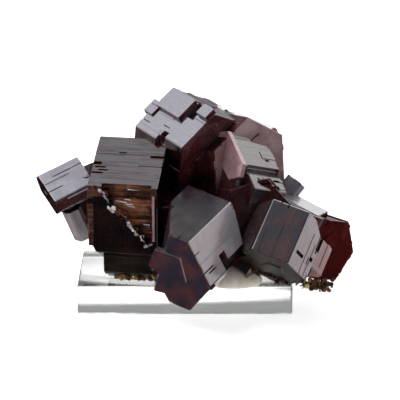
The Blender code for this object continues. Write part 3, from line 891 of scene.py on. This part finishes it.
# %% Helpers for joining
BLOCK_LOW, BLOCK_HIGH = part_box("clear_block")
SEAT_GAP = 0.3 * MM
ROOM_BELOW = 3.0 * MM


def boolean(obj, operation, collection):
    modifier = obj.modifiers.new(operation.lower(), "BOOLEAN")
    modifier.operation = operation
    modifier.solver = "EXACT"
    modifier.operand_type = "COLLECTION"
    modifier.collection = collection
    modifier.material_mode = "TRANSFER"
    bpy.ops.object.select_all(action="DESELECT")
    bpy.context.view_layer.objects.active = obj
    obj.select_set(True)
    bpy.ops.object.modifier_apply(modifier=modifier.name)


def add_box(name, low, high, collection):
    bpy.ops.object.select_all(action="DESELECT")
    bpy.ops.mesh.primitive_cube_add(size=1)
    obj = bpy.context.active_object
    obj.name = name
    size = Vector(high) - Vector(low)
    middle = (Vector(high) + Vector(low)) / 2
    matrix = Matrix.Translation(middle) @ Matrix.Diagonal((*size, 1.0))
    return settle(obj, matrix, collection)


def empty_collection(collection):
    for obj in list(collection.objects):
        bpy.data.objects.remove(obj)
    bpy.data.collections.remove(collection)


def adopt(obj):
    """Takes a finished piece into the scene's own collection."""
    for old in list(obj.users_collection):
        old.objects.unlink(obj)
    bpy.context.scene.collection.objects.link(obj)


def count_triangles(obj):
    return sum(len(polygon.vertices) - 2 for polygon in obj.data.polygons)


# %% Join and cut
# The box keeps the crystals clear of the block: what would reach into it is cut away.
each_way = Vector((1.0, 1.0, 1.0))
add_box("block_room", BLOCK_LOW - each_way * ROOM_BELOW, BLOCK_HIGH + each_way * SEAT_GAP, cutters)
cluster = joined.objects["crystal_main"]
adopt(cluster)
cluster.name = "vanadinite_cluster"
boolean(cluster, "UNION", joined)
boolean(cluster, "DIFFERENCE", cutters)
empty_collection(joined)
empty_collection(cutters)
bpy.data.objects.remove(plain_cube)
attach(cluster, "root")
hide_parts("vanadinite_crystals")
print("cluster:", count_triangles(cluster), "triangles,", len(cluster.data.materials), "finishes")

# %% [markdown]
# ## Putty
#
# The specimen is stuck on with soft cream putty. Three squashed balls are pressed together, melted
# into one skin with a fine voxel remesh, and smoothed, which leaves the rounded creases of real putty.


# %% Putty finish
def putty_finish():
    paint = Paint(bpy.data.materials.new("putty"))
    place = paint.add("ShaderNodeTexCoord", output="Object")
    soft = paint.noise(place, 500.0, 3.0)
    fine = paint.noise(place, 4200.0, 3.0)
    colour = paint.blend(paint.between(soft, 0.4, 0.65), (0.80, 0.77, 0.68, 1), (0.62, 0.55, 0.44, 1))
    shader = paint.add(
        "ShaderNodeBsdfPrincipled",
        {},
        {
            "Base Color": colour,
            "Roughness": 0.42 + fine * 0.2,
            "Normal": paint.bump(soft + fine * 0.15, 0.00006),
            "Subsurface Weight": 0.25,
            "Subsurface Radius": (1.0, 0.8, 0.6),
            "Subsurface Scale": 0.0005,
        },
    )
    return paint.finish(shader)


PUTTY = putty_finish()

# %% Press the putty
PUTTY_LOBES = [
    ((3.2, -0.4, 1.0), (7.4, 5.4, 1.9)),
    ((-1.0, -5.3, 0.1), (2.4, 2.0, 1.9)),
    ((5.6, -5.2, 0.4), (3.4, 2.2, 2.0)),
]
PUTTY_VOXEL = 0.14 * MM
PUTTY_SMOOTH_ROUNDS = 4
PUTTY_LIFT = 0.02 * MM


def remesh(obj, voxel, smooth_rounds):
    """One skin over all that overlaps, then smoothed."""
    modifier = obj.modifiers.new("skin", "REMESH")
    modifier.mode = "VOXEL"
    modifier.voxel_size = voxel
    softener = obj.modifiers.new("soften", "SMOOTH")
    softener.factor = 0.5
    softener.iterations = smooth_rounds
    for name in ("skin", "soften"):
        bpy.ops.object.modifier_apply(modifier=name)
    bpy.ops.object.shade_smooth()


def make_putty():
    bpy.ops.object.select_all(action="DESELECT")
    balls = []
    for middle, radii in PUTTY_LOBES:
        bpy.ops.mesh.primitive_uv_sphere_add(segments=48, ring_count=24, radius=1.0)
        ball = bpy.context.active_object
        centre = Vector(middle) * MM + Vector((0, 0, BLOCK_TOP))
        ball.data.transform(Matrix.Translation(centre) @ Matrix.Diagonal((*(Vector(radii) * MM), 1.0)))
        balls.append(ball)
    for ball in balls:
        ball.select_set(True)
    bpy.ops.object.join()
    putty = bpy.context.active_object
    putty.name = "putty_pad"
    cleave(putty, (0, 0, BLOCK_TOP + PUTTY_LIFT), (0, 0, -1))
    start_edit(putty)
    bpy.ops.mesh.vertices_smooth(factor=0.3, repeat=2)
    end_edit()
    remesh(putty, PUTTY_VOXEL, PUTTY_SMOOTH_ROUNDS)
    putty.data.materials.clear()
    putty.data.materials.append(PUTTY)
    return putty


putty = make_putty()
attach(putty, "root")
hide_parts("mounting_putty")
print("putty:", count_triangles(putty), "triangles")

# %% [markdown]
# ## Crumbs of the host rock
#
# Two bits of crumbly brown rock still cling to the foot of the cluster. Each is a heap of small
# broken grains. Eight grains are modelled, each an icosphere whose points are pushed about by chance.
# The heaps are copies of them, turned and squeezed, and every copy gets one of four earthy finishes.


# %% Rock finishes
def rock(name, dark, light):
    paint = Paint(bpy.data.materials.new(name))
    place = paint.add("ShaderNodeTexCoord", output="Object")
    patches = paint.noise(place, 1100.0, 4.0)
    grit = paint.noise(place, 6000.0, 2.0)
    colour = paint.blend(paint.between(patches, 0.35, 0.65), (*dark, 1), (*light, 1))
    inputs = {
        "Base Color": colour,
        "Roughness": 0.6 + grit * 0.25,
        "Normal": paint.bump(patches + grit * 0.4, 0.00005),
    }
    return paint.finish(paint.add("ShaderNodeBsdfPrincipled", {}, inputs))


ROCKS = [
    rock("rock brown", (0.05, 0.022, 0.010), (0.20, 0.10, 0.045)),
    rock("rock ochre", (0.22, 0.10, 0.025), (0.50, 0.28, 0.08)),
    rock("rock yellow", (0.48, 0.36, 0.13), (0.78, 0.68, 0.36)),
    rock("rock dark", (0.016, 0.008, 0.006), (0.06, 0.03, 0.02)),
]
ROCK_SHARES = (8, 2, 1, 6)

# %% Model the grains
GRAIN_COUNT = 8
GRAIN_ROUGHNESS = 0.22 * MM


def model_grain(seed):
    bpy.ops.object.select_all(action="DESELECT")
    bpy.ops.mesh.primitive_ico_sphere_add(subdivisions=2, radius=MM)
    grain = bpy.context.active_object
    start_edit(grain)
    bpy.ops.transform.vertex_random(offset=GRAIN_ROUGHNESS, seed=seed)
    end_edit()
    return grain


GRAINS = [model_grain(seed) for seed in range(1, GRAIN_COUNT + 1)]
print("modelled", len(GRAINS), "grains of", count_triangles(GRAINS[0]), "triangles")


def make_grain(chance, place, size):
    pattern = chance.choice(GRAINS)
    grain = pattern.copy()
    grain.data = pattern.data.copy()
    bpy.context.scene.collection.objects.link(grain)
    angle = chance.uniform(0, math.tau)
    turn = Matrix.Rotation(angle, 4, Vector((chance.random(), chance.random(), 0.4)))
    shape = Vector((1.0, chance.uniform(0.6, 1.0), chance.uniform(0.5, 0.9))) * size
    squeeze = Matrix.Diagonal((*shape, 1.0))
    grain.data.transform(Matrix.Translation(place) @ turn @ squeeze)
    grain.data.materials.append(chance.choices(ROCKS, ROCK_SHARES)[0])
    return grain


# %% Heap the crumbs
Heap = namedtuple("Heap", "name replaces start end size count seed")
HEAPS = [
    Heap("rock_crumbs_left", "matrix_crust_left", (-7.4, -4.7, 0.9), (-3.9, -5.1, 0.8), 0.85, 110, 3),
    Heap("rock_crumbs_right", "matrix_crust_right", (13.6, -3.9, -0.5), (17.0, -4.4, -0.5), 0.6, 90, 5),
]


def make_heap(heap):
    chance = random.Random(heap.seed)
    low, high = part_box(heap.replaces)
    grains = []
    for index in range(heap.count):
        along = index / (heap.count - 1)
        middle = Vector(heap.start).lerp(Vector(heap.end), along) * MM + Vector((0, 0, BLOCK_TOP))
        spread = heap.size * 0.75 * MM
        place = middle + Vector([chance.gauss(0, spread * share) for share in (0.9, 0.7, 0.75)])
        size = heap.size * chance.uniform(0.2, 0.6)
        for axis in range(3):
            place[axis] = min(max(place[axis], low[axis] + size * MM), high[axis] - size * MM)
        grains.append(make_grain(chance, place, size))
    bpy.ops.object.select_all(action="DESELECT")
    for grain in grains:
        grain.select_set(True)
    bpy.context.view_layer.objects.active = grains[0]
    bpy.ops.object.join()
    pile = bpy.context.active_object
    pile.name = heap.name
    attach(pile, "root")
    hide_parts(heap.replaces)
    print(heap.name, count_triangles(pile), "triangles")


for heap in HEAPS:
    make_heap(heap)
for pattern in GRAINS:
    bpy.data.objects.remove(pattern)

# %% [markdown]
# ## The clear block
#
# The stand is a sawn piece of clear acrylic with softened edges. Its sides keep fine saw lines, so
# the roughness varies in long streaks there. It is left see-through by plain transmission.


# %% Acrylic finish
def acrylic_finish():
    paint = Paint(bpy.data.materials.new("acrylic"))
    place = paint.add("ShaderNodeTexCoord", output="Object")
    streaks = paint.noise(paint.stretch(place, (70.0, 70.0, 2600.0)), 1.0, 4.0, 0.65)
    shader = paint.add(
        "ShaderNodeBsdfPrincipled",
        {},
        {
            "Base Color": (0.87, 0.87, 0.86, 1.0),
            "Roughness": paint.between(streaks, 0.45, 0.75) * 0.22 + 0.02,
            "Normal": paint.bump(streaks, 0.00003),
            "IOR": 1.49,
            "Transmission Weight": 1.0,
        },
    )
    return paint.finish(shader)


ACRYLIC = acrylic_finish()

# %% Block
BLOCK_BEVEL = 0.25 * MM
BEVEL_SEGMENTS = 4
ROUND_BELOW = math.radians(40)


def make_block():
    block = add_box("acrylic_block", BLOCK_LOW, BLOCK_HIGH, bpy.context.scene.collection)
    bevel_edges(block, BLOCK_BEVEL, BEVEL_SEGMENTS)
    bpy.ops.object.shade_smooth_by_angle(angle=ROUND_BELOW)
    block.data.materials.append(ACRYLIC)
    return block


block = make_block()
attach(block, "root")
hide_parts("clear_block")
print("block:", count_triangles(block), "triangles")

# %% [markdown]
# ## Floor and studio light
#
# The floor is plain and nearly white, and lights itself a little, as a light table does. Crystal
# faces are mirrors, so what they reflect matters more than any lamp: the studio is painted in the
# world as soft glowing patches round and over the object, with darkness behind the camera and below.


# %% Floor
def floor_finish():
    paint = Paint(bpy.data.materials.new("floor"))
    inputs = {
        "Base Color": (0.85, 0.85, 0.86, 1.0),
        "Roughness": 0.9,
        "Specular IOR Level": 0.0,
        "Emission Color": (1.0, 1.0, 1.0, 1.0),
        "Emission Strength": 0.75,
    }
    return paint.finish(paint.add("ShaderNodeBsdfPrincipled", {}, inputs))


FLOOR_SIZE = 3.0
FLOOR_GAP = 0.01 * MM
bpy.ops.object.select_all(action="DESELECT")
bpy.ops.mesh.primitive_plane_add(size=FLOOR_SIZE, location=(0, 0, cad_low[2] - FLOOR_GAP))
floor = bpy.context.active_object
floor.name = "floor"
floor.data.materials.append(floor_finish())
floor.visible_glossy = False

# %% World light
# A patch is full at core and fades out at edge, both as the cosine of the angle from its middle.
AMBIENT = (0.015, 0.015, 0.017, 1.0)
Glow = namedtuple("Glow", "direction colour strength edge core")
GLOWS = [
    Glow((-0.45, 0.08, 0.89), (0.86, 0.88, 1.0), 1.25, 0.85, 0.985),
    Glow((-0.45, 0.08, 0.89), (0.90, 0.93, 1.0), 1.0, 0.988, 0.999),
    Glow((0.62, 0.12, 0.78), (1.0, 1.0, 1.0), 2.5, 0.985, 0.996),
    Glow((0.15, 0.78, 0.60), (1.0, 0.99, 0.97), 2.8, 0.93, 0.985),
    Glow((0.67, 0.60, 0.45), (1.0, 0.98, 0.95), 1.6, 0.90, 0.985),
    Glow((0.0, 0.97, 0.25), (0.97, 0.98, 1.0), 0.35, 0.70, 0.92),
    Glow((0.97, 0.20, 0.12), (1.0, 0.90, 0.90), 1.1, 0.89, 0.97),
    Glow((-0.99, 0.05, 0.13), (1.0, 0.90, 0.90), 1.3, 0.70, 0.90),
    Glow((-0.10, -0.10, 0.99), (0.93, 0.96, 1.0), 0.24, 0.60, 0.98),
]


def paint_world():
    paint = Paint(bpy.context.scene.world or bpy.data.worlds.new("studio"))
    bpy.context.scene.world = paint.owner
    direction = paint.add("ShaderNodeTexCoord", output="Generated")
    total = AMBIENT
    for glow in GLOWS:
        toward = Vector(glow.direction).normalized()
        inputs = {0: direction, 1: tuple(toward)}
        facing = paint.add("ShaderNodeVectorMath", {"operation": "DOT_PRODUCT"}, inputs, "Value")
        share = paint.between(facing, glow.edge, glow.core)
        colour = tuple(value * glow.strength for value in glow.colour) + (1.0,)
        inputs = {0: share, 6: total, 7: colour}
        settings = {"data_type": "RGBA", "blend_type": "ADD", "clamp_result": False}
        total = paint.add("ShaderNodeMix", settings, inputs, 2)
    background = paint.add("ShaderNodeBackground", {}, {"Color": total, "Strength": 1.0})
    paint.add("ShaderNodeOutputWorld", {}, {"Surface": background})


paint_world()

# %% Key light
KEY_PLACE = Vector((-0.16, 0.04, 0.34))
KEY_SIZE = 0.20
KEY_POWER = 0.6
bpy.ops.object.select_all(action="DESELECT")
bpy.ops.object.light_add(type="AREA", location=KEY_PLACE)
key = bpy.context.active_object
key.rotation_euler = (CAMERA_TARGET - KEY_PLACE).to_track_quat("-Z", "Y").to_euler()
key.data.size = KEY_SIZE
key.data.energy = KEY_POWER
key.visible_glossy = False
print("lit by", len(GLOWS), "glowing patches and one lamp")
